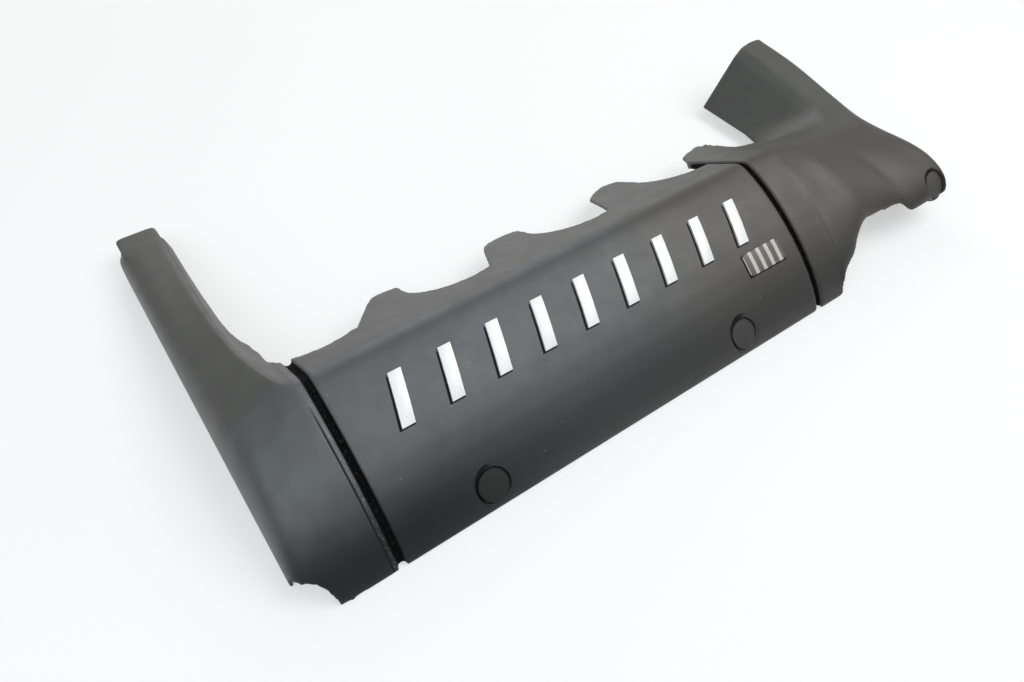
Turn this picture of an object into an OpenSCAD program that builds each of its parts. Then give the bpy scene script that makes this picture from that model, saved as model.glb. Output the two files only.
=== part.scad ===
// Engine cover for one bank of a V8: a thin moulded shell with a long barrel,
// a scalloped flange between the inlet runners, an arm at the front and a wing at the rear.
// X runs along the barrel, Y towards the scalloped side, Z up. The cover lies on its edges.

/* [Barrel] */
// Distance between the two grooves
barrel_length = 324; // [300:1:350]
// Width of the barrel from its lower edge to the crest
barrel_width = 90.4; // [86:0.2:95]
// Height of the crest over the lower edge
barrel_height = 65.8; // [62:0.2:70]
// Fullness of the barrel's curve, where 2 is an ellipse
barrel_bulge = 1.4; // [1.3:0.05:1.6]
// Wall of the moulding
wall = 2.5; // [2:0.1:3]

/* [Flange] */
// Fall of the flange behind the crest, in degrees
flange_fall = 32; // [29:0.5:35]
// Softness of the crest between barrel and flange
crest_soft = 3; // [2:0.25:4]
// Distance between inlet runners
runner_pitch = 98; // [94:0.5:100]
// Radius of each runner scallop, measured on the flange
scallop_r = 32; // [31:0.5:34]
// Distance of the first scallop's centre behind the front groove
scallop_start = 22; // [19:0.5:22]
// Width of flange left at the bottom of a scallop
scallop_land = 30.5; // [28:0.5:33]
// Reach of the tabs between the runners, down the flange
tab_reach = 84; // [78:0.5:88]

/* [Grooves] */
// Width of each groove across the cover
groove_w = 4.6; // [3.5:0.1:6]
// Depth of each groove
groove_depth = 3.6; // [2.5:0.1:4]
// Width of the shallow ledge in front of the front groove
ledge_w = 3.2; // [2:0.1:4]
// Depth of that ledge
ledge_depth = 0.8; // [0.5:0.1:1.2]

/* [Front arm] */
// Distance from the front groove to the outer face of the front section
front_w = 53; // [50:0.5:57]
// Distance from the lower edge to the arm's shoulder
arm_reach = 297; // [285:1:310]
// Height of the arm's top at its shoulder
arm_h = 24; // [21:0.5:28]
// Length of the tongue beyond the shoulder
tongue_l = 20; // [14:0.5:26]
// Inset of the tongue on each side
tongue_inset = 4; // [2:0.5:6]
// Thickness of the tongue
tongue_t = 3; // [2:0.25:4]

/* [Rear wing] */
// Distance from the rear groove to the wing's far skirt
rear_l = 156.5; // [152:0.5:164]
// Distance from the lower edge to the end of the wing
wing_reach = 215; // [205:1:225]
// Height of the wing's ridge at its end
wing_h = 57.5; // [52:0.5:62]
// Width of the wing at its foot
wing_w = 60.5; // [56:0.5:66]

/* [Screw seats] */
// Diameter of the round screw caps
cap_d = 20; // [18:0.5:21]
// Thickness of a cap's disc
cap_t = 2.4; // [2:0.1:3]
// Clearance round each cap
cap_gap = 0.4; // [0.2:0.1:0.8]
// Distance of the front cap behind the front groove
front_cap_x = 62; // [55:1:72]
// Distance of the middle cap in front of the rear groove
middle_cap_x = 69; // [60:1:78]
// Bore of the compression sleeves
sleeve_bore = 6.4; // [6:0.1:7]
// Wall of the compression sleeves
sleeve_wall = 1.2; // [1:0.1:1.5]
// Radial thickness of rubber round a sleeve
rubber_t = 1.2; // [1:0.1:1.6]

/* [Trim] */
// Number of bright bars on the barrel
bar_count = 9; // [6:1:10]
// Distance between bars
bar_pitch = 31; // [24:0.5:31.5]
// Height of the bars, measured on the barrel
bar_h = 30; // [24:0.5:32]
// Width of each bar
bar_w = 8; // [5:0.25:10]
// Thickness of the bars
bar_t = 1.6; // [1:0.1:2]
// Lean of the bars, in degrees
bar_lean = 14; // [0:1:20]
// Length of the small plate
plate_l = 32; // [28:0.5:38]
// Width of the small plate
plate_w = 15; // [12:0.5:17]
// Thickness of the small plate
plate_t = 0.8; // [0.6:0.1:1.2]

/* [Hidden] */
$fn = 64;
// steps along each stretch of a surface
rise_steps = 12;
flange_steps = 4;
blend_steps = 2;
// planes where the front and rear sections join the straight barrel
front_join = groove_w / 2 + ledge_w + wall;
rear_join = barrel_length + 24;
far_x = barrel_length + rear_l;
// the box's middle in plan, which is set over the origin
middle_x = (far_x - front_w) / 2;
middle_y = (arm_reach + tongue_l) / 2;

// Helpers

function unit(v) = v / norm(v);
function level(v) = [v.x, v.y, 0];
function flip(list) = [for (i = [len(list) - 1:-1:0]) list[i]];

// Barrel curve from the lower edge to the crest, as shares of its width and height
function rise(t, bulge) = [1 - pow(cos(90 * t), 2 / bulge), pow(sin(90 * t), 2 / bulge)];

// One cross-section: up from the lower edge, over the soft crest, down to the flange edge
function section(edge, crest, rim, bulge, soft) =
    let (over = crest + soft * unit(level(rim - crest)))
    let (down = over + soft * unit(rim - over))
    concat(
        [for (i = [0:rise_steps])
            let (r = rise(i / rise_steps, bulge))
            edge + [(crest - edge).x * r[0], (crest - edge).y * r[0], (crest - edge).z * r[1]]],
        [crest / 4 + over / 2 + down / 4],
        [for (i = [0:flange_steps]) down + (rim - down) * i / flange_steps]);

// A point on the flange, down its slope from the crest
function on_flange(x, s) =
    [x, barrel_width + crest_soft + s * cos(flange_fall), barrel_height - s * sin(flange_fall)];

// Profile of the straight barrel in Y and Z, to the longest reach of the flange
flange_end = tab_reach + 20;
barrel_profile = [for (p = section([0, 0, 0], [0, barrel_width, barrel_height],
    on_flange(0, flange_end), barrel_bulge, crest_soft)) [p.y, p.z]];

// The same profile moved inwards by a depth, with its first point kept level
function side(a, b) = let (d = unit(b - a)) [d.y, -d.x];
function inset(line, depth) =
    let (last = len(line) - 1)
    [for (i = [0:last])
        let (n1 = side(line[max(i - 1, 0)], line[max(i, 1)]))
        let (n2 = side(line[min(i, last - 1)], line[min(i + 1, last)]))
        i == 0 ? line[0] + [depth, 0] : line[i] + depth * (n1 + n2) / (1 + n1 * n2)];

module along_x(from, to) {
    translate([from, 0, 0]) rotate([90, 0, 90]) linear_extrude(to - from) children();
}

// Layer of the barrel between two depths under its surface
module layer(outer_depth, inner_depth) {
    polygon(concat(inset(barrel_profile, outer_depth), flip(inset(barrel_profile, inner_depth))));
}

// Sections that turn a corner

// Smooth path through a list of hand-set stations
function between(a, b, c, d, t) = 0.5 * (2 * b + (c - a) * t
    + (2 * a - 5 * b + 4 * c - d) * t * t + (3 * b - a - 3 * c + d) * t * t * t);
function path(list) = concat([for (i = [0:len(list) - 2], k = [0:blend_steps - 1])
    between(list[max(i - 1, 0)], list[i], list[i + 1], list[min(i + 2, len(list) - 1)],
        k / blend_steps)], [list[len(list) - 1]]);

// Lofted wall over stations of edge, crest, rim, bulge and softness. It starts on a plane across X
// and ends on a plane across Y. turn is 1 where it runs towards the rear and -1 to the front.
module lofted_wall(stations, turn) {
    edges = [for (p = path([for (s = stations) s[0]])) [p.x, p.y, max(p.z, 0)]];
    crests = path([for (s = stations) s[1]]);
    rims = path([for (s = stations) s[2]]);
    bulges = path([for (s = stations) s[3]]);
    softs = path([for (s = stations) s[4]]);
    outer = [for (i = [0:len(edges) - 1])
        section(edges[i], crests[i], rims[i], bulges[i], softs[i])];
    rows = len(outer);
    cols = len(outer[0]);
    inner = [for (i = [0:rows - 1]) [for (j = [0:cols - 1])
        let (a = i == 0 ? [turn, 0, 0] : i == rows - 1 ? [0, 1, 0] : outer[i + 1][j] - outer[i - 1][j])
        let (b = outer[i][min(j + 1, cols - 1)] - outer[i][max(j - 1, 0)])
        let (n = turn * cross(a, b))
        outer[i][j] - wall * unit(j == 0 ? level(n) : n)]];
    count = rows * cols;
    function at(i, j) = i * cols + j;
    skin = [for (i = [0:rows - 2], j = [0:cols - 2]) each [
        [at(i, j), at(i, j + 1), at(i + 1, j + 1)],
        [at(i, j), at(i + 1, j + 1), at(i + 1, j)],
        [count + at(i, j), count + at(i + 1, j + 1), count + at(i, j + 1)],
        [count + at(i, j), count + at(i + 1, j), count + at(i + 1, j + 1)]]];
    hems = [for (i = [0:rows - 2]) each [
        [at(i, 0), at(i + 1, 0), count + at(i + 1, 0)],
        [at(i, 0), count + at(i + 1, 0), count + at(i, 0)],
        [at(i + 1, cols - 1), at(i, cols - 1), count + at(i, cols - 1)],
        [at(i + 1, cols - 1), count + at(i, cols - 1), count + at(i + 1, cols - 1)]]];
    ends = [for (j = [0:cols - 2]) each [
        [at(0, j + 1), at(0, j), count + at(0, j)],
        [at(0, j + 1), count + at(0, j), count + at(0, j + 1)],
        [at(rows - 1, j), at(rows - 1, j + 1), count + at(rows - 1, j + 1)],
        [at(rows - 1, j), count + at(rows - 1, j + 1), count + at(rows - 1, j)]]];
    faces = concat(skin, hems, ends);
    polyhedron(points = concat([for (r = outer) each r], [for (r = inner) each r]),
        faces = [for (f = faces) turn > 0 ? f : flip(f)]);
}

// Where the scallops at both ends of the barrel cross the joining planes
front_rim_s = scallop_land + scallop_r
    - sqrt(scallop_r * scallop_r - pow(scallop_start + front_join, 2));
rear_rim_s = tab_reach - 3;

// Front section: round the corner from the barrel into the arm
front_stations = [
    [[-front_join, 0, 0], [-front_join, barrel_width, barrel_height],
        on_flange(-front_join, front_rim_s), barrel_bulge, crest_soft],
    [[-22, 0, 0], [-10, 91.3, 65.7], [-8.6, 142, 35.8], 1.4, 3],
    [[-36, 0, 0], [-12.5, 94, 65.3], [-8.2, 147, 35.2], 1.4, 3.5],
    [[-44, 1, 0], [-14.8, 98.5, 64.7], [-9, 151, 34.5], 1.4, 4],
    [[-50, 5, 0], [-16.8, 103.5, 63.7], [-10, 155.5, 33.4], 1.42, 4.5],
    [[-front_w, 13, 0], [-18.8, 110, 62.2], [-10.2, 160, 32.2], 1.55, 5],
    [[-front_w, 28, 0], [-20.8, 119, 60.2], [-11.6, 164.5, 30.8], 1.9, 5],
    [[-front_w, 50, 0], [-22.4, 130, 57.7], [-13, 169, 29.5], 2.5, 5],
    [[-front_w, 75, 0], [-23.7, 143, 55], [-14.2, 175.5, 27.8], 3.2, 5],
    [[-front_w, 105, 0], [-24.8, 160, 51.3], [-15.4, 184, 25.5], 4, 5],
    [[-front_w, 145, 0], [-25.6, 184, 46.3], [-16.4, 198, 22.5], 4.8, 5],
    [[-front_w, 200, 0], [-25.8, 220, 39], [-17.2, 226, 18.5], 5.5, 5],
    [[-front_w, 250, 0], [-25, 257, 31.5], [-17.4, 260, 14.5], 5.5, 4],
    [[-front_w, arm_reach, 0], [-23.5, arm_reach, arm_h], [-17.2, arm_reach, 11], 5.5, 3]];

// Rear section: from the barrel over the end lobe into the wing
rear_stations = [
    [[rear_join, 0, 0], [rear_join, barrel_width, barrel_height],
        on_flange(rear_join, rear_rim_s), barrel_bulge, crest_soft],
    [[350.5, 4.2, 10], [351, 90, 65.3], [355, 165, 20], 1.4, 3],
    [[354.5, 7.7, 14.8], [354, 89.8, 64.9], [360.5, 165.5, 19.5], 1.4, 3],
    [[359.5, 9.8, 17.8], [357, 89.5, 64.4], [363, 159, 23.5], 1.4, 3],
    [[366, 13, 21], [361, 89, 63.8], [362.5, 149, 29.5], 1.4, 3],
    [[373, 18.5, 26], [366, 88.3, 63], [362.8, 139, 35.5], 1.45, 3],
    [[384, 24, 31], [373, 87.5, 61.8], [366, 130, 40.5], 1.6, 3],
    [[397, 26, 31.5], [382, 87, 60], [373, 124, 43.8], 1.6, 4],
    [[412, 26, 31], [392, 87, 57.8], [381, 121.5, 44], 1.6, 5],
    [[424, 23, 29.5], [402, 87, 55.5], [389, 121.5, 41.5], 1.6, 6],
    [[431, 16.5, 24.5], [409, 88, 54], [396, 124, 36.5], 1.6, 7],
    [[450, 16.5, 24.5], [420, 90, 52], [403, 129.5, 29], 1.9, 8],
    [[467, 17, 24.5], [431, 94, 50], [410, 137, 20], 2.5, 9],
    [[476.5, 22, 21], [441, 99, 48], [416, 146, 12], 2.8, 10],
    [[479.5, 38, 15], [448, 106, 46.5], [419, 156, 10], 2.8, 10],
    [[far_x, 60, 9], [453, 116, 46.5], [420, 165, 10], 3, 10],
    [[far_x, 90, 4], [456, 130, 47.5], [420, 173, 10], 3.3, 10],
    [[far_x, 130, 0], [458.5, 152, 50], [420, 183, 10], 4, 10],
    [[far_x, 175, 0], [461.5, 184, 54.5], [420, 198, 10], 4.8, 10],
    [[far_x, wing_reach, 0], [462, wing_reach, wing_h], [far_x - wing_w, wing_reach, 10], 5, 10]];

// Runner scallops

// Front edges of the four tabs behind the scallops, from foot to top, on the flat flange:
// distance behind the scallop's centre and distance down the flange
tab_fronts = [
    [[22, 36], [35, 60], [42, 73], [49, tab_reach - 1], [53, tab_reach]],
    [[17, 36], [32, 71], [37, 80], [43, tab_reach + 1], [52, tab_reach + 3]],
    [[14, 34], [23, 58], [29, 76], [42, 89], [54, tab_reach + 12]],
    [[6, 31], [11, 58], [20, 73], [35, 83], [44, tab_reach + 1]]];
// Flat shape of one scallop and of all that lies beyond the tab behind it
module scallop(i) {
    centre = scallop_land + scallop_r;
    front = tab_fronts[i];
    top = front[len(front) - 1].y;
    far_side = runner_pitch - scallop_r;
    lean = i == 0 ? 0 : 4;
    intersection() {
        translate([0, centre]) circle(r = scallop_r);
        translate([-scallop_r, 0]) square([scallop_r + front[0].x, centre]);
    }
    polygon(concat(front, [[far_side - 6, top - 0.5], [far_side + 1.5, top - 4],
        [far_side + 7, top - 4], [far_side + 7, flange_end + 10],
        [-scallop_r + lean, flange_end + 10], [-scallop_r, centre]]));
}

module flange_cuts() {
    translate(on_flange(0, 0)) rotate([-flange_fall, 0, 0])
        for (i = [0:3]) translate([scallop_start + i * runner_pitch, 0, -2 * scallop_r])
            linear_extrude(3 * scallop_r) scallop(i);
}

// Grooves

module groove(x, before) {
    half = groove_w / 2;
    along_x(x - half, x + half) layer(-wall, groove_depth);
    if (before > 0) along_x(x - half - before, x) layer(-wall, ledge_depth);
}

module groove_backing(x, before) {
    half = groove_w / 2 + wall;
    along_x(x - half - before, x + half) layer(0, groove_depth + wall);
}

// Screw seats

// Height of the two barrel caps over the lower edge, and how far they are sunk
cap_rise = 13.6;
cap_sink = 1.5;
cap_tilt = 47;
seat_wall = 1.6;
pocket_d = cap_d + 2 * cap_gap;
head_d = 15;
head_h = 3;
floor_t = 2.2;
sleeve_d = sleeve_bore + 2 * sleeve_wall;
waist_d = sleeve_d + 2 * rubber_t;
grommet_lip = 1.6;
seat_depth = cap_t + head_h;
cap_share = asin(pow(cap_rise / barrel_height, barrel_bulge / 2)) / 90;
cap_y = barrel_width * rise(cap_share, barrel_bulge)[0];
// place, turn about Z and tilt of each seat: front, middle, rear
seats = [[[front_cap_x, cap_y, cap_rise], 0], [[barrel_length - middle_cap_x, cap_y, cap_rise], 0],
    [[barrel_length + 142, 22, 30], 20]];

module at_seat(i) {
    translate(seats[i][0]) rotate([0, 0, seats[i][1]]) rotate([cap_tilt, 0, 0])
        translate([0, 0, -cap_sink]) children();
}

module drum(d, from, to) {
    translate([0, 0, from]) cylinder(d = d, h = to - from);
}

module seat_backing() {
    drum(pocket_d + 2 * seat_wall, -cap_t - seat_wall, cap_d / 2);
    drum(head_d + 2 * seat_wall, -seat_depth - floor_t, -cap_t - seat_wall / 2);
}

module seat_hole() {
    drum(pocket_d, -cap_t, cap_d);
    drum(head_d, -seat_depth, -cap_t + 1);
    drum(waist_d, -seat_depth - floor_t - 1, -seat_depth + 1);
}

// Everything under the barrel's outer surface
module under_barrel() {
    last = barrel_profile[len(barrel_profile) - 1];
    polygon(concat([[barrel_profile[0].x, -10]], barrel_profile, [[last.x, -10]]));
}

// Ribs

rib_count = 3;
rib_t = 1.8;
rib_h = 9;
module cross_rib(x) {
    line = inset(barrel_profile, wall / 2);
    span = [for (p = line) if (p.x > 14 && p.x < barrel_width) p];
    along_x(x - rib_t / 2, x + rib_t / 2)
        polygon(concat(span, flip([for (p = span) p - [0, rib_h]])));
}

module tongue() {
    inner_x = 17.2 + tongue_inset;
    outer_x = front_w - tongue_inset;
    corner = 5;
    translate([0, arm_reach, arm_h - 0.8]) rotate([-10, 0, 0]) translate([0, 0, -tongue_t])
        linear_extrude(tongue_t) {
            translate([-outer_x, -8]) square([outer_x - inner_x, tongue_l + 8 - corner]);
            translate([-outer_x + corner, -8]) square([outer_x - inner_x - 2 * corner, tongue_l + 8]);
            for (x = [-outer_x + corner, -inner_x - corner])
                translate([x, tongue_l - corner]) circle(r = corner);
        }
}

// Notch for a lead under the front corner
module lead_notch() {
    translate([0, 24, 0]) rotate([90, 0, 0]) linear_extrude(40)
        polygon([[-36.5, -1], [-36.5, 3], [-38.5, 9], [-40, 12], [-42.5, 14], [-48, 13.6],
            [-50.5, 12.5], [-52, 10.5], [-front_w - 5, 9], [-front_w - 5, -1]]);
}

module cover_shell() {
    color("dimgray") difference() {
        union() {
            difference() {
                union() {
                    along_x(-front_join, rear_join) layer(0, wall);
                    groove_backing(0, ledge_w);
                    groove_backing(barrel_length, 0);
                }
                groove(0, ledge_w);
                groove(barrel_length, 0);
                flange_cuts();
            }
            lofted_wall(front_stations, -1);
            lofted_wall(rear_stations, 1);
            tongue();
            for (i = [1:rib_count]) cross_rib(i * barrel_length / (rib_count + 1));
            intersection() {
                union() for (i = [0, 1]) at_seat(i) seat_backing();
                along_x(0, barrel_length) under_barrel();
            }
            at_seat(2) intersection() {
                seat_backing();
                drum(60, -20, -0.2);
            }
        }
        lead_notch();
        for (i = [0:2]) at_seat(i) seat_hole();
    }
}

// Small pieces

module screw_cap() {
    edge = 0.6;
    ring = head_d / 2 - 0.2;
    color("black") rotate_extrude()
        polygon([[0, 0], [cap_d / 2 - edge, 0], [cap_d / 2, -edge], [cap_d / 2, -cap_t],
            [ring, -cap_t], [ring, -cap_t - 1.1], [ring - 1.6, -cap_t - 1.1], [ring - 1.6, -cap_t],
            [0, -cap_t]]);
}

module grommet() {
    color([0.12, 0.12, 0.13]) difference() {
        union() {
            drum(head_d - 0.6, -seat_depth, -seat_depth + grommet_lip);
            drum(waist_d, -seat_depth - floor_t - grommet_lip, -seat_depth + grommet_lip);
            drum(waist_d + 3, -seat_depth - floor_t - grommet_lip, -seat_depth - floor_t);
        }
        drum(sleeve_d, -30, 10);
    }
}

module sleeve() {
    color("silver") difference() {
        drum(sleeve_d, -seat_depth - floor_t - grommet_lip - 0.6, -seat_depth + grommet_lip + 0.2);
        drum(sleeve_bore, -30, 10);
    }
}

// Frame standing on the barrel at a share of its rise
function barrel_slope(t) = let (a = rise(t - 0.01, barrel_bulge), b = rise(t + 0.01, barrel_bulge))
    atan2((b[1] - a[1]) * barrel_height, (b[0] - a[0]) * barrel_width);
module on_barrel(x, t) {
    r = rise(t, barrel_bulge);
    translate([x, r[0] * barrel_width, r[1] * barrel_height]) rotate([barrel_slope(t), 0, 0]) children();
}

// A flat outline wrapped on the barrel as a thin layer
module bonded(x, t, thick) {
    intersection() {
        along_x(0, barrel_length) layer(-thick, 0);
        on_barrel(x, t) translate([0, 0, -8]) linear_extrude(16) children();
    }
}

bar_share = 0.683;
first_bar_x = 38;
module trim_bar(i) {
    lean = bar_h / 2 * tan(bar_lean);
    half = bar_w / 2;
    color("gainsboro") bonded(first_bar_x + i * bar_pitch, bar_share, bar_t)
        polygon([[-half - lean, -bar_h / 2], [half - lean, -bar_h / 2],
            [half + lean, bar_h / 2], [-half + lean, bar_h / 2]]);
}

plate_share = 0.494;
module small_plate() {
    corner = 2.5;
    color([0.4, 0.37, 0.35]) bonded(barrel_length - 32, plate_share, plate_t) union() {
        square([plate_l - 2 * corner, plate_w], center = true);
        square([plate_l, plate_w - 2 * corner], center = true);
        for (x = [-1, 1], y = [-1, 1])
            translate([x * (plate_l / 2 - corner), y * (plate_w / 2 - corner)]) circle(r = corner);
    }
}

module placed() {
    translate([-middle_x, -middle_y, 0]) children();
}

placed() cover_shell();
placed() at_seat(0) screw_cap();  // front_screw_cap
placed() at_seat(1) screw_cap();  // middle_screw_cap
placed() at_seat(2) screw_cap();  // rear_screw_cap
placed() at_seat(0) grommet();  // front_grommet
placed() at_seat(1) grommet();  // middle_grommet
placed() at_seat(2) grommet();  // rear_grommet
placed() at_seat(0) sleeve();  // front_sleeve
placed() at_seat(1) sleeve();  // middle_sleeve
placed() at_seat(2) sleeve();  // rear_sleeve
placed() trim_bar(0);  // trim_bar_1
placed() trim_bar(1);  // trim_bar_2
placed() trim_bar(2);  // trim_bar_3
placed() trim_bar(3);  // trim_bar_4
placed() trim_bar(4);  // trim_bar_5
placed() trim_bar(5);  // trim_bar_6
placed() trim_bar(6);  // trim_bar_7
placed() trim_bar(7);  // trim_bar_8
placed() trim_bar(8);  // trim_bar_9
placed() small_plate();
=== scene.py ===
import bpy
import bmesh
from math import cos, radians, sin
from mathutils import Matrix, Vector
from mathutils.kdtree import KDTree


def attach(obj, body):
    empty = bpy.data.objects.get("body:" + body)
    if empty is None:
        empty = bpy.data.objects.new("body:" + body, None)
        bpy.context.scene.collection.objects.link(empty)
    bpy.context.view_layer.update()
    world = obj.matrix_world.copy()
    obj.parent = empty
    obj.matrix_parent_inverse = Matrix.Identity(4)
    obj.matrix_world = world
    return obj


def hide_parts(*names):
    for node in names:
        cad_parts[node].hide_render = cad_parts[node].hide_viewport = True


# Engine cover for one bank of cylinders, on a white table. Metres, X along the barrel, Z up.

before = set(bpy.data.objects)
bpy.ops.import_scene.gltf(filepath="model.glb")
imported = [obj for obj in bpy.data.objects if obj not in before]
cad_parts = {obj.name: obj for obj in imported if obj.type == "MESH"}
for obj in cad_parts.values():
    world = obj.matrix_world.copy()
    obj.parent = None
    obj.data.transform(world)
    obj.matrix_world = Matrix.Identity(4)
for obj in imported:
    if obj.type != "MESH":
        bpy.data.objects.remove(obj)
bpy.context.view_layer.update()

# camera, set from the photograph's vanishing lines
cameraSet = {
    "place": (-0.26803, -0.32984, 0.38075),
    "turn": (40.787, -0.321, -35.0),       # degrees
    "lens": 26.99,                         # millimetres
    "sensor": 36,
    "nearest": 0.01,
}

cameraData = bpy.data.cameras.new("camera")
cameraData.lens = cameraSet["lens"]
cameraData.sensor_width = cameraSet["sensor"]
cameraData.clip_start = cameraSet["nearest"]
camera = bpy.data.objects.new("camera", cameraData)
camera.location = cameraSet["place"]
camera.rotation_euler = [radians(a) for a in cameraSet["turn"]]
bpy.context.collection.objects.link(camera)
bpy.context.scene.camera = camera
print("camera set")


# helpers for modelling

mergeDistance = 0.00002                    # metres


def pickOnly(obj):
    bpy.ops.object.select_all(action="DESELECT")
    obj.select_set(True)
    bpy.context.view_layer.objects.active = obj


def applyModifier(obj, name, kind, settings):
    pickOnly(obj)
    modifier = obj.modifiers.new(name, kind)
    for key, value in settings.items():
        setattr(modifier, key, value)
    bpy.ops.object.modifier_apply(modifier=name)


def editMesh(obj, mode="FACE"):
    pickOnly(obj)
    bpy.ops.object.mode_set(mode="EDIT")
    bpy.ops.mesh.select_mode(type=mode)


def leaveEdit():
    bpy.ops.object.mode_set(mode="OBJECT")


def mergedCopy(node, name):
    # a copy of a CAD node with its loose triangles joined
    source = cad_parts[node]
    obj = bpy.data.objects.new(name, source.data.copy())
    bpy.context.collection.objects.link(obj)
    obj.matrix_world = source.matrix_world.copy()
    pickOnly(obj)
    bpy.ops.object.transform_apply(location=True, rotation=True, scale=True)
    editMesh(obj, "VERT")
    bpy.ops.mesh.select_all(action="SELECT")
    bpy.ops.mesh.remove_doubles(threshold=mergeDistance)
    leaveEdit()
    return obj


def settle(obj, node, material):
    obj.data.materials.clear()
    obj.data.materials.append(material)
    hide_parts(node)
    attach(obj, "root")


# shader wires: an expression on wires adds its Math nodes

class Wire:
    def __init__(self, graph, socket):
        self.graph = graph
        self.socket = socket

    def math(self, operation, *values):
        return self.graph.add("ShaderNodeMath", {"operation": operation}, *values)

    def __add__(self, other):
        return self.math("ADD", self, other)

    def __sub__(self, other):
        return self.math("SUBTRACT", self, other)

    def __rsub__(self, other):
        return self.math("SUBTRACT", other, self)

    def __mul__(self, other):
        return self.math("MULTIPLY", self, other)

    def __truediv__(self, other):
        return self.math("DIVIDE", self, other)

    def __mod__(self, other):
        return self.math("FLOORED_MODULO", self, other)

    def __abs__(self):
        return self.math("ABSOLUTE", self)

    def __lt__(self, other):
        return self.math("LESS_THAN", self, other)

    def __gt__(self, other):
        return self.math("GREATER_THAN", self, other)

    __radd__ = __add__
    __rmul__ = __mul__

    def ramp(self, low, high):
        # 0 below low, 1 above high, soft between
        return self.graph.add("ShaderNodeMapRange", {"interpolation_type": "SMOOTHSTEP"},
                              self, low, high, 0.0, 1.0)


class Graph:
    def __init__(self, name):
        self.material = bpy.data.materials.new(name)
        self.material.use_nodes = True
        self.nodes = self.material.node_tree.nodes
        self.links = self.material.node_tree.links
        self.surface = self.nodes["Principled BSDF"]
        self.out = self.nodes["Material Output"]

    def put(self, socket, value):
        if isinstance(value, Wire):
            self.links.new(value.socket, socket)
        elif value is not None:
            socket.default_value = value

    def add(self, kind, settings, *values, **named):
        # node type, its settings, then values or wires for its sockets by place or by name
        node = self.nodes.new(kind)
        output = named.pop("output", 0)
        for key, value in settings.items():
            setattr(node, key, value)
        for index, value in enumerate(values):
            self.put(node.inputs[index], value)
        for key, value in named.items():
            self.put(node.inputs[key.replace("_", " ")], value)
        return Wire(self, node.outputs[output])

    def place(self, scale=(1, 1, 1), turn=(0, 0, 0)):
        # object coordinates, stretched by scale and turned by degrees
        point = self.add("ShaderNodeTexCoord", {}, output="Object")
        return self.add("ShaderNodeMapping", {}, point, None, [radians(a) for a in turn], scale)

    def axes(self):
        # object coordinates as three wires
        split = self.add("ShaderNodeSeparateXYZ", {}, self.place())
        return [Wire(self, output) for output in split.socket.node.outputs]

    def noise(self, scale, detail=2.0, roughness=0.5, where=None):
        return self.add("ShaderNodeTexNoise", {}, Vector=where or self.place(), Scale=scale,
                        Detail=detail, Roughness=roughness)

    def mix(self, factor, first, second):
        # colours, through a Mix node
        node = self.nodes.new("ShaderNodeMix")
        node.data_type = "RGBA"
        self.put(node.inputs["Factor"], factor)
        self.put(node.inputs["A"], first)
        self.put(node.inputs["B"], second)
        return Wire(self, node.outputs["Result"])

    def bump(self, height, strength, distance, under=None):
        return self.add("ShaderNodeBump", {}, Height=height, Strength=strength,
                        Distance=distance, Normal=under)

    def finish(self, **sockets):
        # values and wires for the surface's own sockets
        for key, value in sockets.items():
            self.put(self.surface.inputs[key.replace("_", " ")], value)
        return self.material


def grey(value, warm=0.0):
    # a grey from 0 to 1, a little warmer or, below zero, bluer
    return (value * (1 + warm), value, value * (1 - warm), 1)


# painted shade on the moulding, laid to its form: in the grooves, under the crest, and round the
# screw caps, bars and plate

markSet = {
    "frontGroove": -0.21375,               # X of the two grooves
    "rearGroove": 0.11025,
    "grooveHalf": 0.0023,
    "grooveInset": 0.0002,                 # the painted shade of a groove stays inside its edges
    "ledge": 0.0032,                       # width of the shallow ledge before the front groove
    "ledgeHalf": 0.0011,                   # half width of the dry bloom on it
    "lineHalf": 0.0004,                    # the thin line of painted shadow at its edge, and where that starts in Y
    "lineSpan": (-0.075, -0.1),
    "crest": -0.0728,                      # Y of the soft band of painted shade under the crest
    "crestHalf": 0.0008,
    "crestFade": 0.004,
    "crestEnds": (0.004, 0.06),            # how fast that band starts and ends along X
    "firstBar": -0.17575,
    "barCount": 9,
    "barPitch": 0.031,
    "barMiddle": -0.0996,
    "barHalf": (0.0047, 0.0129),
    "barLean": 0.30,                       # X per Y along a bar
    "barShadow": 0.0006,                   # the rims of painted shadow lie a little to the left and below
    "plate": (0.07825, -0.1239),
    "plateHalf": (0.0166, 0.0062),
    "plateShadow": 0.0004,
    "fade": 0.0004,                        # soft rims of the grooves, then of bars and plate
    "thinFade": 0.0003,
    "rowFade": 0.001,
    "shadeGrey": 0.006,                         # grey of the painted shade in the deepest marks
    "line": 0.75,                          # strength of each kind of painted shade
    "bars": 0.85,
    "plateRim": 0.7,
    "capRim": 0.85,
    "crestShade": 0.3,
    "dustInGroove": 0.3,
}

capSet = {
    "radius": 0.0103,
    "rimHalf": 0.0007,
    "fade": 0.0012,
    "darkSide": (-0.86, 0.5),              # direction of the crescent of painted shade, along X and Y
    "darkSpan": (-0.0015, 0.007),
    # X and Y of each cap's middle, share of its height seen from above
    "seats": [(-0.15175, -0.1502, 0.68), (0.04125, -0.1502, 0.68), (0.24830, -0.1356, 0.68)],
}


def band(wire, middle, half, soft):
    # 1 within half of the middle, fading over soft
    return abs(wire - middle).ramp(half + soft, half)


def capShade(along, across):
    # painted shade: the dark crescent on the left of each screw cap, where its side wall and the gap
    # round it lie in shade
    shade = 0.0
    right, up = capSet["darkSide"]
    for x, y, share in capSet["seats"]:
        u, v = along - x, (across - y) / share
        squared = u * u + v * v
        distance = squared.math("SQRT", squared)
        side = (v * up + u * right).ramp(*capSet["darkSpan"])
        shade = shade + band(distance, capSet["radius"], capSet["rimHalf"], capSet["fade"]) * side
    return shade


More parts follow.
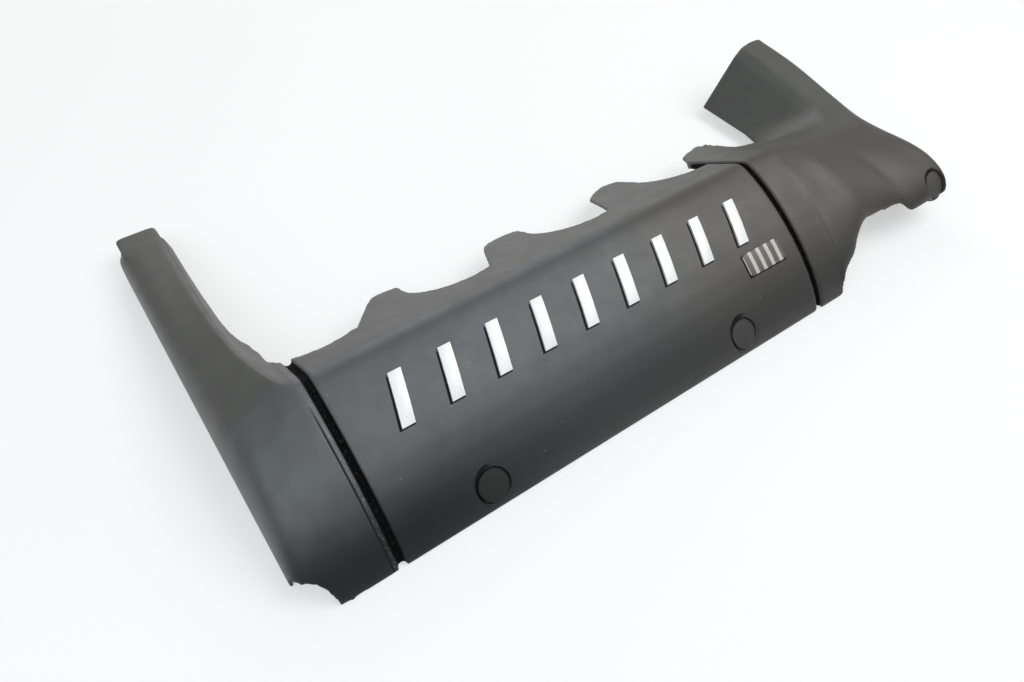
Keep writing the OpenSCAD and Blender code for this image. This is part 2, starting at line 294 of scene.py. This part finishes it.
def paintedShade(along, across, dust):
    m = markSet
    fade, thin, pitch = m["fade"], m["thinFade"], m["barPitch"]
    # painted shade in the two grooves
    half = m["grooveHalf"] - m["grooveInset"]
    groove = band(along, m["frontGroove"], half, fade) + band(along, m["rearGroove"], half, fade)
    # painted shadow: the thin line at the ledge's edge
    ledgeEnd = m["frontGroove"] - m["grooveHalf"] - m["ledge"]
    line = band(along, ledgeEnd, m["lineHalf"], fade) * across.ramp(*m["lineSpan"])
    # painted shade under the crest, only along the barrel
    barrel = along.ramp(m["frontGroove"], m["frontGroove"] + m["crestEnds"][0])
    barrel = barrel * along.ramp(m["rearGroove"], m["rearGroove"] - m["crestEnds"][1])
    crest = band(across, m["crest"], m["crestHalf"], m["crestFade"]) * barrel
    # painted shadow round the bars: one bar repeated all along X, then only those in the row are kept
    lean = (across - m["barMiddle"]) * m["barLean"]
    u = (along - m["firstBar"] - lean + pitch / 2) % pitch - pitch / 2
    bars = band(u, -m["barShadow"], m["barHalf"][0], thin)
    bars = bars * band(across, m["barMiddle"] - m["barShadow"], m["barHalf"][1], thin)
    rowMiddle = m["firstBar"] + (m["barCount"] - 1) / 2 * pitch
    bars = bars * band(along, rowMiddle, (m["barCount"] / 2 + 0.1) * pitch, m["rowFade"])
    # painted shadow round the plate
    plate = band(along, m["plate"][0] - m["plateShadow"], m["plateHalf"][0], thin)
    plate = plate * band(across, m["plate"][1] - m["plateShadow"], m["plateHalf"][1], thin)
    full = groove * (1 - dust * m["dustInGroove"]) + line * m["line"] + bars * m["bars"]
    full = full + plate * m["plateRim"] + capShade(along, across) * m["capRim"]
    return full.math("MINIMUM", full, 1.0), crest * m["crestShade"]


# moulded plastic of the shell and of the caps, with painted light and shade

plasticSet = {
    # painted light: the front half lighter and bluer and the rear half warmer, as the light on each
    # side colours them; the flange lighter where it faces the light
    "cool": (0.075, 0.085, 0.092, 1),      # front half, rear half and scalloped flange
    "warm": (0.056, 0.050, 0.043, 1),
    "flange": (0.070, 0.072, 0.066, 1),
    "low": 0.006,                          # grey of the painted shade on the lower zone
    "lowShadeShare": 0.85,
    "warmSpan": (-0.09, 0.19),             # X over which the tone turns warm
    "flangeSpan": (-0.058, -0.048),        # Y over which each of these zones begins
    "lowShadeSpan": (-0.1, -0.142),
    "lowFrontShade": 0.65,                         # how far painted shade takes the sheen off the lower front
    "lowFrontShadeSpan": (-0.05, -0.21),
    # each noise: cells per metre, detail and roughness; each span: where a mask begins and is full
    "cloud": (9, 3.0, 0.55),
    "cloudReach": (0.16, 0.02),            # how far the clouds push the zones, along X and Y
    "mottle": (70, 4.0, 0.6),
    "mottleSpan": (0.35, 0.7),
    "mottleGrey": 0.035,
    "mottleShare": 0.25,
    "specksPerMetre": 240,
    "speckSize": 0.08,                     # share of a cell
    "speckGrey": 0.4,
    "speckShare": 0.5,
    "speckCloud": (24, 2.0, 0.5),
    "speckCloudShare": 0.12,
    "specksAbove": 1.01,                   # lower gives more specks
    "streak": (30, 6.0, 0.7),
    "streakStretch": (1.2, 9, 9),
    "streakTurn": (0, 0, 24),
    "streakSpan": (0.68, 0.72),
    "scuffSpan": (0.45, 0.6),
    "scuffGrey": 0.25,
    "scuffShare": 0.12,
    "dust": (900, 2.0, 0.6),
    "dustSpan": (0.55, 0.7),
    "dustGrey": 0.28,
    "dustShare": 0.5,
    "crestShadeGrey": 0.02,
    "roughness": 0.46,
    "roughBy": {"mottle": 0.16, "cloud": 0.08, "specks": 0.3, "shadeMarks": 0.4},
    "specular": 0.75,
    "markMetal": 0.9,
    "grain": (1500, 2.0, 0.6),
    "leatherPerMetre": 1200,
    "leatherShare": 0.6,
    "grainStrength": 0.55,
    "grainHeight": 0.00005,
    "waveStrength": 0.2,
    "waveHeight": 0.004,
}


def mouldedPlastic(name, tint):
    g = Graph(name)
    where = g.place()
    along, across = g.axes()[:2]
    cloud = g.noise(*tint["cloud"])
    mottle = g.noise(*tint["mottle"])
    reachX, reachY = tint["cloudReach"]
    # painted light: lighter and bluer towards the front, warmer towards the rear, and lighter on the
    # flange
    warmSide = (along + cloud * reachX).ramp(*tint["warmSpan"])
    colour = g.mix(warmSide, tint["cool"], tint["warm"])
    level = across + cloud * reachY
    colour = g.mix(level.ramp(*tint["flangeSpan"]), colour, tint["flange"])
    patches = mottle.ramp(*tint["mottleSpan"]) * tint["mottleShare"]
    colour = g.mix(patches, colour, grey(tint["mottleGrey"]))
    # painted shade: darker towards the lower edge
    low = level.ramp(*tint["lowShadeSpan"])
    colour = g.mix(low * tint["lowShadeShare"], colour, grey(tint["low"]))
    # a few pale specks, more of them in the loose clouds of a slow noise
    cells = g.add("ShaderNodeTexVoronoi", {}, Vector=where, Scale=tint["specksPerMetre"])
    pick = g.add("ShaderNodeSeparateColor", {}, Wire(g, cells.socket.node.outputs["Color"]))
    pick = pick + g.noise(*tint["speckCloud"]) * tint["speckCloudShare"]
    specks = (cells < tint["speckSize"]) * (pick > tint["specksAbove"])
    colour = g.mix(specks * tint["speckShare"], colour, grey(tint["speckGrey"]))
    # fine scuffs, long and thin
    streaks = g.noise(*tint["streak"], g.place(tint["streakStretch"], tint["streakTurn"]))
    scuffs = streaks.ramp(*tint["streakSpan"]) * mottle.ramp(*tint["scuffSpan"])
    colour = g.mix(scuffs * tint["scuffShare"], colour, grey(tint["scuffGrey"]))
    # a dry pale bloom on the ledge before the front groove
    dust = g.noise(*tint["dust"]).ramp(*tint["dustSpan"])
    ledgeMiddle = markSet["frontGroove"] - markSet["grooveHalf"] - markSet["ledge"] / 2
    ledge = band(along, ledgeMiddle, markSet["ledgeHalf"], markSet["fade"])
    colour = g.mix(ledge * dust * tint["dustShare"], colour, grey(tint["dustGrey"]))
    # painted shade in the marks and under the crest
    shadeMarks, crest = paintedShade(along, across, dust)
    colour = g.mix(crest, colour, grey(tint["crestShadeGrey"]))
    colour = g.mix(shadeMarks, colour, grey(markSet["shadeGrey"]))
    # leather grain over a slow wave
    leather = g.add("ShaderNodeTexVoronoi", {"feature": "SMOOTH_F1"}, Vector=where,
                    Scale=tint["leatherPerMetre"])
    grain = g.noise(*tint["grain"]) + leather * tint["leatherShare"]
    fine = g.bump(grain, tint["grainStrength"], tint["grainHeight"])
    wave = g.bump(cloud, tint["waveStrength"], tint["waveHeight"], fine)
    by = tint["roughBy"]
    rough = tint["roughness"] + (mottle - 0.5) * by["mottle"] + cloud * by["cloud"]
    rough = rough + specks * by["specks"] + shadeMarks * by["shadeMarks"]
    # painted shade: a dark metal gives no sheen, which darkens the groove bottoms and the other
    # marks, and the lower front
    lowFrontShade = low * along.ramp(*tint["lowFrontShadeSpan"]) * tint["lowFrontShade"]
    dull = lowFrontShade.math("MAXIMUM", lowFrontShade, shadeMarks * tint["markMetal"])
    return g.finish(Base_Color=colour, Roughness=rough, Metallic=dull, Normal=wave,
                    Specular_IOR_Level=tint["specular"])


shellPlastic = mouldedPlastic("shellPlastic", plasticSet)
# the caps take the same painted shade on their lower zone and at their rims
capTint = dict(plasticSet, cool=(0.010, 0.011, 0.011, 1), warm=(0.08, 0.075, 0.068, 1),
               low=0.012, roughness=0.55)
capPlastic = mouldedPlastic("capPlastic", capTint)


# bright trim, plate, rubber and steel

trimSet = {
    "silver": (0.87, 0.88, 0.87, 1),
    "shade": (0.76, 0.77, 0.76, 1),
    "shadeNoise": (35, 3.0, 0.5),
    "shadeSpan": (0.4, 0.7),
    "shadeShare": 0.5,
    "brush": (260, 4.0, 0.6),
    "brushStretch": (1, 6, 6),
    "roughness": 0.34,
    "brushRoughness": 0.12,
    "metal": 0.1,
    "grainStrength": 0.3,
    "grainHeight": 0.00005,
}


def brightTrim():
    g, t = Graph("brightTrim"), trimSet
    brush = g.noise(*t["brush"], g.place(t["brushStretch"]))
    shade = g.noise(*t["shadeNoise"]).ramp(*t["shadeSpan"]) * t["shadeShare"]
    return g.finish(Base_Color=g.mix(shade, t["silver"], t["shade"]), Metallic=t["metal"],
                    Roughness=t["roughness"] + brush * t["brushRoughness"],
                    Normal=g.bump(brush, t["grainStrength"], t["grainHeight"]))


plateSet = {
    "ground": (0.125, 0.112, 0.102, 1),
    "stripe": (0.56, 0.52, 0.48, 1),
    "stripePitch": 0.0036,                 # from the middle of a stripe to that of its gap
    "stripeSpan": (0.55, 0.62),            # share of the pitch over which a stripe begins
    "wear": (420, 4.0, 0.6),
    "wearSpan": (0.6, 0.75),
    "wearShare": 0.5,
    "roughness": 0.42,
    "wearRoughness": 0.1,
    "grainPerMetre": 1500,
    "grainStrength": 0.4,
    "grainHeight": 0.00004,
}


def plateFinish():
    g, t = Graph("plateFinish"), plateSet
    pitch, along = t["stripePitch"], g.axes()[0]
    stripe = along.math("PINGPONG", along, pitch)
    bars = stripe.ramp(*[pitch * share for share in t["stripeSpan"]])
    worn = g.noise(*t["wear"])
    bars = bars * (1 - worn.ramp(*t["wearSpan"]) * t["wearShare"])
    grain = g.noise(t["grainPerMetre"])
    return g.finish(Base_Color=g.mix(bars, t["ground"], t["stripe"]),
                    Roughness=t["roughness"] + worn * t["wearRoughness"],
                    Normal=g.bump(grain, t["grainStrength"], t["grainHeight"]))


rubberSet = {
    "black": 0.02,
    "bloom": (0.045, 0.03),                # grey and how warm it is
    "bloomNoise": (90, 4.0, 0.6),
    "bloomSpan": (0.4, 0.7),
    "roughness": 0.72,
    "bloomRoughness": 0.15,
    "grainPerMetre": 1200,
    "grainStrength": 0.5,
    "grainHeight": 0.00005,
}


def softRubber():
    g, t = Graph("softRubber"), rubberSet
    bloom = g.noise(*t["bloomNoise"])
    grain = g.noise(t["grainPerMetre"])
    colour = g.mix(bloom.ramp(*t["bloomSpan"]), grey(t["black"]), grey(*t["bloom"]))
    return g.finish(Base_Color=colour, Roughness=t["roughness"] + bloom * t["bloomRoughness"],
                    Normal=g.bump(grain, t["grainStrength"], t["grainHeight"]))


steelSet = {
    "bright": (0.62, 0.02),                # greys and how warm they are
    "dull": (0.48, 0.03),
    "turned": (900, 3.0, 0.6),
    "turnedSpan": (0.35, 0.7),
    "roughness": 0.28,
    "turnedRoughness": 0.15,
    "grainStrength": 0.3,
    "grainHeight": 0.00003,
}


def platedSteel():
    g, t = Graph("platedSteel"), steelSet
    turned = g.noise(*t["turned"])
    colour = g.mix(turned.ramp(*t["turnedSpan"]), grey(*t["bright"]), grey(*t["dull"]))
    return g.finish(Base_Color=colour, Metallic=1.0,
                    Roughness=t["roughness"] + turned * t["turnedRoughness"],
                    Normal=g.bump(turned, t["grainStrength"], t["grainHeight"]))


trimMetal = brightTrim()
plateMaterial = plateFinish()
rubberMaterial = softRubber()
steelMaterial = platedSteel()
print("materials made")


# rear section of the shell, lofted from the barrel over the end lobe into the wing

rearSet = {
    # millimetres, measured from the rear groove at the lower edge
    "groove": (110.25, -158.5),            # where that is in the frame
    "cutAt": 24.6,                         # the CAD skin is kept up to here
    "wall": 2.5,
    "upSteps": 22,
    "downSteps": 8,
    "blendSteps": 5,                       # rows from one station to the next
}

# at each station: X, Y and Z of the lower edge, the crest and the rim, then fullness and softness
rearStations = [
    ((24.3, 0, 0), (24.3, 90.4, 65.8), (24.3, 160.8, 23.7), 1.4, 3),
    ((26.6, 4.2, 10), (27.4, 90, 65.3), (32.1, 164.5, 21.2), 1.4, 3),
    ((30.5, 7.7, 14.8), (29.7, 89.8, 64.9), (39.9, 167.5, 19.4), 1.4, 3),
    ((35.2, 9.8, 17.8), (32.9, 89.5, 64.4), (41.5, 161.5, 22.8), 1.4, 3),
    ((42.3, 13, 21), (36.8, 89, 63.8), (39.1, 149.5, 29.5), 1.4, 3),
    ((49.3, 18.5, 26), (42.3, 88.3, 63), (39.1, 139, 35.5), 1.45, 3),
    ((60.3, 24.5, 31.5), (49.3, 87.5, 61.8), (42.3, 130, 40.5), 1.6, 3),
    ((72.8, 25.5, 31), (57.9, 87, 60), (49.3, 124, 43.8), 1.6, 4),
    ((87.6, 24.8, 30.2), (68.1, 87, 57.8), (57.1, 121.5, 44), 1.6, 5),
    ((100.2, 23, 29.5), (78.3, 87, 55.5), (64.9, 121.5, 41.5), 1.6, 6),
    ((108, 16.4, 24.5), (85.3, 88, 54), (72, 124, 36.5), 1.6, 7),
    ((126.8, 16, 24.5), (96.2, 90, 52), (79, 129.5, 29), 1.9, 8),
    ((143.2, 16, 24.5), (105.6, 93.5, 50.5), (86.1, 137, 20), 2.1, 9),
    ((148.7, 17.4, 24), (111.9, 96, 49.5), (89.2, 141.5, 16), 2.3, 9.5),
    ((152.6, 24, 21), (117.4, 99.5, 48.5), (92.3, 146, 12), 3.1, 10),
    ((155.7, 38, 15), (123.6, 106, 47), (94.7, 156, 10), 4.1, 10),
    ((156.5, 60, 9), (129.1, 116, 46), (96.2, 165, 10), 3.1, 10),
    ((156.5, 90, 4), (132.2, 130, 46.5), (96.2, 173, 10), 2.8, 10),
    ((156.5, 130, 0), (134.6, 152, 49.5), (96.2, 183, 10), 3.7, 10),
    ((156.5, 175, 0), (137.7, 184, 54.5), (96.2, 198, 10), 4.8, 10),
    ((156.5, 215, 0), (137.7, 215, 57.5), (96, 215, 10), 5, 10),
]

rearSeat = {
    # the rear screw's seat, in millimetres and degrees: its place in the CAD
    "cadPlace": (142, 22, 30),
    "cadTurn": 20,
    "cadSink": 1.5,
    # the place that fits the lobe
    "place": (138, 23.5, 30.6),
    "turn": 5,
    "proud": 0.8,
    "tilt": 47,
    # diameters, and depths below the cap's face
    "pocket": 21.0,
    "pocketDepth": 2.4,
    "shoulder": 24.2,
    "shoulderInset": 0.6,
    "throat": 15.0,
    "throatDepth": 5.4,
    "bossWall": 1.6,
    "bossDepth": 7.6,
    "overlap": 0.5,
    "clear": 8,                            # how far the pocket's cutter stands out
    "sides": 96,
}


def inFrame(point):
    # from millimetres at the rear groove to the frame's metres
    x, y = rearSet["groove"]
    return Vector(((point[0] + x) / 1000, (point[1] + y) / 1000, point[2] / 1000))


def blended(a, b, c, d, t):
    # smooth path from b to c, with a and d as the neighbours
    return 0.5 * (2 * b + (c - a) * t + (2 * a - 5 * b + 4 * c - d) * t * t
                  + (3 * b - a - 3 * c + d) * t ** 3)


def smoothPath(values):
    # numbers or points, with blendSteps rows between each two
    steps, last = rearSet["blendSteps"], len(values) - 1
    path = [blended(values[max(i - 1, 0)], values[i], values[i + 1], values[min(i + 2, last)],
                    k / steps) for i in range(last) for k in range(steps)]
    return path + [values[-1]]


def crossSection(edge, crest, rim, fullness, softness):
    # up from the lower edge on a fat quarter ellipse, over the soft crest, down to the rim
    flat = Vector((rim.x - crest.x, rim.y - crest.y, 0)).normalized()
    over = crest + softness * flat
    down = over + softness * (rim - over).normalized()
    points = []
    for i in range(rearSet["upSteps"] + 1):
        angle = radians(90 * i / rearSet["upSteps"])
        out, high = 1 - max(cos(angle), 0) ** (2 / fullness), sin(angle) ** (2 / fullness)
        reach = crest - edge
        points.append(edge + Vector((reach.x * out, reach.y * out, reach.z * high)))
    points.append(crest / 4 + over / 2 + down / 4)
    for i in range(rearSet["downSteps"] + 1):
        points.append(down.lerp(rim, i / rearSet["downSteps"]))
    return points


def wallBelow(outer):
    # the inner skin, one wall thickness along the outer skin's normals
    rows, cols = len(outer), len(outer[0])
    inner = []
    for i, row in enumerate(outer):
        line = []
        for j, point in enumerate(row):
            if i == 0:
                ahead = Vector((1, 0, 0))          # the first row is square to the barrel
            elif i == rows - 1:
                ahead = Vector((0, 1, 0))          # the last one is square to the wing
            else:
                ahead = outer[i + 1][j] - outer[i - 1][j]
            normal = ahead.cross(row[min(j + 1, cols - 1)] - row[max(j - 1, 0)])
            if j == 0:
                normal.z = 0                       # the lower edge keeps its height
            line.append(point - rearSet["wall"] * normal.normalized())
        inner.append(line)
    return inner


def closedSkins(outer, inner):
    # faces of both skins, and the strips that close them round the rims
    rows, cols = len(outer), len(outer[0])
    mesh = bmesh.new()
    skins = [[[mesh.verts.new(inFrame(p)) for p in line] for line in skin] for skin in (outer, inner)]
    for skin in skins:
        for i in range(rows - 1):
            for j in range(cols - 1):
                mesh.faces.new((skin[i][j], skin[i][j + 1], skin[i + 1][j + 1], skin[i + 1][j]))
    top, under = skins
    for i in range(rows - 1):
        for j in (0, cols - 1):
            mesh.faces.new((top[i][j], top[i + 1][j], under[i + 1][j], under[i][j]))
    for j in range(cols - 1):
        for i in (0, rows - 1):
            mesh.faces.new((top[i][j], top[i][j + 1], under[i][j + 1], under[i][j]))
    bmesh.ops.recalc_face_normals(mesh, faces=mesh.faces)
    return mesh


def rearLoft():
    columns = [smoothPath([Vector(station[k]) for station in rearStations]) for k in range(3)]
    full = smoothPath([station[3] for station in rearStations])
    soft = smoothPath([station[4] for station in rearStations])
    for point in columns[0]:
        point.z = max(point.z, 0)
    for point in columns[2]:
        point.z = max(point.z, rearSet["wall"])
    outer = [crossSection(*parts) for parts in zip(*columns, full, soft)]
    mesh = closedSkins(outer, wallBelow(outer))
    data = bpy.data.meshes.new("rear_section")
    mesh.to_mesh(data)
    mesh.free()
    rear = bpy.data.objects.new("rear_section", data)
    bpy.context.collection.objects.link(rear)
    return rear


def seatFrame(place, turn, lift):
    # the seat's own axes: Z along the screw, from the surface outwards
    return (Matrix.Translation(inFrame(place)) @ Matrix.Rotation(radians(turn), 4, "Z")
            @ Matrix.Rotation(radians(rearSeat["tilt"]), 4, "X")
            @ Matrix.Translation((0, 0, lift / 1000)))


cadSeat = seatFrame(rearSeat["cadPlace"], rearSeat["cadTurn"], -rearSeat["cadSink"])
newSeat = seatFrame(rearSeat["place"], rearSeat["turn"], rearSeat["proud"])


def seatDrum(name, diameter, low, high):
    # a drum on the rear seat's axis between two heights in millimetres
    bpy.ops.object.select_all(action="DESELECT")
    bpy.ops.mesh.primitive_cylinder_add(vertices=rearSeat["sides"], radius=diameter / 2000,
                                        depth=(high - low) / 1000)
    drum = bpy.context.active_object
    drum.name = name
    drum.data.transform(newSeat @ Matrix.Translation((0, 0, (low + high) / 2000)))
    return drum


def cutOrJoin(obj, other, operation):
    applyModifier(obj, "shape", "BOOLEAN", {"operation": operation, "object": other,
                                            "solver": "EXACT"})
    bpy.data.objects.remove(other)


def makeRear():
    # the lofted section with the boss, pocket and throat of its screw seat
    rear, seat = rearLoft(), rearSeat
    cutOrJoin(rear, seatDrum("boss", seat["shoulder"], -seat["throatDepth"],
                             -seat["proud"] - seat["shoulderInset"]), "UNION")
    cutOrJoin(rear, seatDrum("bossFoot", seat["throat"] + 2 * seat["bossWall"],
                             -seat["bossDepth"], seat["overlap"] - seat["throatDepth"]), "UNION")
    cutOrJoin(rear, seatDrum("pocket", seat["pocket"], -seat["pocketDepth"], seat["clear"]),
              "DIFFERENCE")
    cutOrJoin(rear, seatDrum("throat", seat["throat"], -seat["throatDepth"], 0), "DIFFERENCE")
    print("rear section", len(rear.data.polygons), "faces")
    return rear


# the moulded shell: the CAD skin with smooth curves and softened edges

shellSet = {
    "voxel": 0.00105,                      # metres
    "sharpAngle": 28,                      # degrees, edges that stay crisp
    "pointEvery": 0.0008,                  # spacing of the marks along them
    "softNear": 0.0012,                    # distance from a crisp edge where smoothing begins
    "softFar": 0.006,                      # and where it is full
    "smoothBy": 0.5,
    "smoothTurns": 40,
    "edgeTurns": 6,
    "triangles": 185000,
    "shadeAngle": 40,
    # boxes round two cut edges that need more smoothing: the front corner and the last tab
    "raggedTurns": 12,
    "ragged": [("corner", (-0.27, -0.160, -0.01), (-0.235, -0.128, 0.018)),
               ("lastTab", (0.045, 0.0, 0.0), (0.109, 0.04, 0.05))],
}


def sharpPoints(obj):
    # points along the crisp edges of the CAD skin
    editMesh(obj, "EDGE")
    bpy.ops.mesh.select_all(action="DESELECT")
    bpy.ops.mesh.edges_select_sharp(sharpness=radians(shellSet["sharpAngle"]))
    leaveEdit()
    points = []
    for edge in obj.data.edges:
        if edge.select:
            start, end = [obj.data.vertices[i].co for i in edge.vertices]
            steps = max(1, int((end - start).length / shellSet["pointEvery"]))
            points += [start.lerp(end, i / steps) for i in range(steps + 1)]
    tree = KDTree(len(points))
    for i, point in enumerate(points):
        tree.insert(point, i)
    tree.balance()
    return tree


def joinedSkin():
    # the CAD skin up to its rear section, and the lofted section in one mesh
    shell = mergedCopy("cover_shell", "cover_skin")
    editMesh(shell)
    bpy.ops.mesh.select_all(action="SELECT")
    bpy.ops.mesh.bisect(plane_co=inFrame((rearSet["cutAt"], 0, 0)), plane_no=(1, 0, 0),
                        use_fill=True, clear_outer=True)
    leaveEdit()
    rear = makeRear()
    pickOnly(shell)
    rear.select_set(True)
    bpy.ops.object.join()
    return shell


def smooth(shell, name, turns, group=""):
    applyModifier(shell, name, "SMOOTH", {"factor": shellSet["smoothBy"], "iterations": turns,
                                          "vertex_group": group})


def fairSkin(shell):
    # one skin of even cells, smoothed most where it is far from crisp edges
    crisp = sharpPoints(shell)
    applyModifier(shell, "skin", "REMESH", {"mode": "VOXEL", "voxel_size": shellSet["voxel"],
                                            "adaptivity": 0.0})
    soft = shell.vertex_groups.new(name="soft")
    near, far = shellSet["softNear"], shellSet["softFar"]
    for vertex in shell.data.vertices:
        weight = min(1, (crisp.find(vertex.co)[2] - near) / (far - near))
        if weight > 0:
            soft.add([vertex.index], weight, "REPLACE")
    smooth(shell, "even", shellSet["edgeTurns"])
    smooth(shell, "fair", shellSet["smoothTurns"], "soft")
    for name, low, high in shellSet["ragged"]:
        group = shell.vertex_groups.new(name=name)
        group.add([v.index for v in shell.data.vertices
                   if all(a < c < b for a, c, b in zip(low, v.co, high))], 1.0, "REPLACE")
        smooth(shell, name, shellSet["raggedTurns"], name)
    shell.vertex_groups.clear()


def makeShell():
    shell = joinedSkin()
    fairSkin(shell)
    count = sum(len(face.vertices) - 2 for face in shell.data.polygons)
    applyModifier(shell, "thin", "DECIMATE", {"ratio": min(1, shellSet["triangles"] / count)})
    pickOnly(shell)
    bpy.ops.object.shade_smooth_by_angle(angle=radians(shellSet["shadeAngle"]))
    settle(shell, "cover_shell", shellPlastic)
    print("shell", len(shell.data.polygons), "faces")


makeShell()


# small pieces: CAD copies with their edges rounded

roundSet = {
    "bar": 0.00035,                        # width of the rounding in metres
    "thin": 0.0002,
    "cap": 0.00025,
    "segments": 2,
    "flatAngle": 2,                        # degrees, faces that count as one
    "sharpAngle": 35,
}


def roundedCopy(node, material, width):
    piece = mergedCopy(node, node + "_finished")
    if node.startswith("rear_"):
        piece.data.transform(newSeat @ cadSeat.inverted())
    editMesh(piece)
    bpy.ops.mesh.select_all(action="SELECT")
    bpy.ops.mesh.dissolve_limited(angle_limit=radians(roundSet["flatAngle"]))
    leaveEdit()
    sharp = radians(roundSet["sharpAngle"])
    applyModifier(piece, "round", "BEVEL", {"width": width, "segments": roundSet["segments"],
                                            "limit_method": "ANGLE", "angle_limit": sharp})
    pickOnly(piece)
    bpy.ops.object.shade_smooth_by_angle(angle=sharp)
    settle(piece, node, material)


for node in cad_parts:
    if node.startswith("trim_bar"):
        roundedCopy(node, trimMetal, roundSet["bar"])
    elif node == "small_plate":
        roundedCopy(node, plateMaterial, roundSet["thin"])
    elif node.endswith("screw_cap"):
        roundedCopy(node, capPlastic, roundSet["cap"])
    elif node.endswith("grommet"):
        roundedCopy(node, rubberMaterial, roundSet["cap"])
    elif node.endswith("sleeve"):
        roundedCopy(node, steelMaterial, roundSet["thin"])
print("small pieces made")


# table and light

tableSet = {
    "size": 8,
    "seen": 0.93,                          # grey as the camera sees it
    "bounce": 0.25,                        # grey as the object sees it
    "glow": 0.5,                           # share of plain white in what the camera sees
    "patches": (14, 3.0, 0.5),
    "patchShare": 0.12,
    "patchDarker": 0.04,
    "roughness": 0.9,
    "specular": 0.1,
}


def paleTable():
    g = Graph("paleTable")
    path = g.add("ShaderNodeLightPath", {}).socket.node.outputs
    camera, glossy, through = [Wire(g, path[kind]) for kind in (
        "Is Camera Ray", "Is Glossy Ray", "Is Transmission Ray")]
    seen = camera + glossy + through
    seen = seen.math("MINIMUM", seen, 1.0)
    patches = g.noise(*tableSet["patches"]) * tableSet["patchShare"]
    pale = g.mix(patches, grey(tableSet["seen"]), grey(tableSet["seen"] - tableSet["patchDarker"]))
    g.finish(Base_Color=g.mix(seen, grey(tableSet["bounce"]), pale),
             Roughness=tableSet["roughness"], Specular_IOR_Level=tableSet["specular"])
    glow = g.add("ShaderNodeEmission", {}, grey(1.0), 1.0)
    shader = g.nodes.new("ShaderNodeMixShader")
    g.put(shader.inputs[0], seen * tableSet["glow"])
    g.links.new(g.surface.outputs[0], shader.inputs[1])
    g.links.new(glow.socket, shader.inputs[2])
    g.links.new(shader.outputs[0], g.out.inputs["Surface"])
    return g.material


def makeTable():
    bpy.ops.object.select_all(action="DESELECT")
    bpy.ops.mesh.primitive_plane_add(size=tableSet["size"], location=(0, 0, 0))
    table = bpy.context.active_object
    table.name = "table"
    table.data.materials.append(paleTable())


lightSet = {
    "ambient": 0.36,
    "white": (1, 1, 1),
    "cool": (0.88, 0.95, 1.0),
    # name, place, aim, size, watts and tint of each lamp
    "lamps": [
        ("ceilingLight", (0.75, -0.4, 1.3), (0, 0, 0), 1.1, 10.9, "white"),
        ("windowLight", (0.4, 1.4, 0.9), (0, 0, 0), 1.2, 7.4, "white"),
        ("frontLight", (-0.15, -1.0, 1.3), (-0.1, 0, 0), 1.3, 4.5, "cool"),
        ("leftLight", (-1.15, -0.45, 1.15), (-0.2, 0, 0), 0.9, 5.5, "cool"),
    ],
}


def lightWorld(scene):
    scene.world = bpy.data.worlds.new("studio")
    scene.world.use_nodes = True
    sky = scene.world.node_tree.nodes["Background"].inputs
    sky["Strength"].default_value = lightSet["ambient"]
    sky["Color"].default_value = grey(1.0)


def areaLight(name, place, aim, size, power, tint):
    data = bpy.data.lights.new(name, "AREA")
    data.shape = "DISK"
    data.size = size
    data.energy = power
    data.color = lightSet[tint]
    lamp = bpy.data.objects.new(name, data)
    lamp.location = place
    lamp.rotation_euler = (Vector(aim) - Vector(place)).to_track_quat("-Z", "Y").to_euler()
    bpy.context.collection.objects.link(lamp)


scene = bpy.context.scene
scene.view_settings.view_transform = "Standard"
makeTable()
lightWorld(scene)
for lamp in lightSet["lamps"]:
    areaLight(*lamp)
print("stage set")
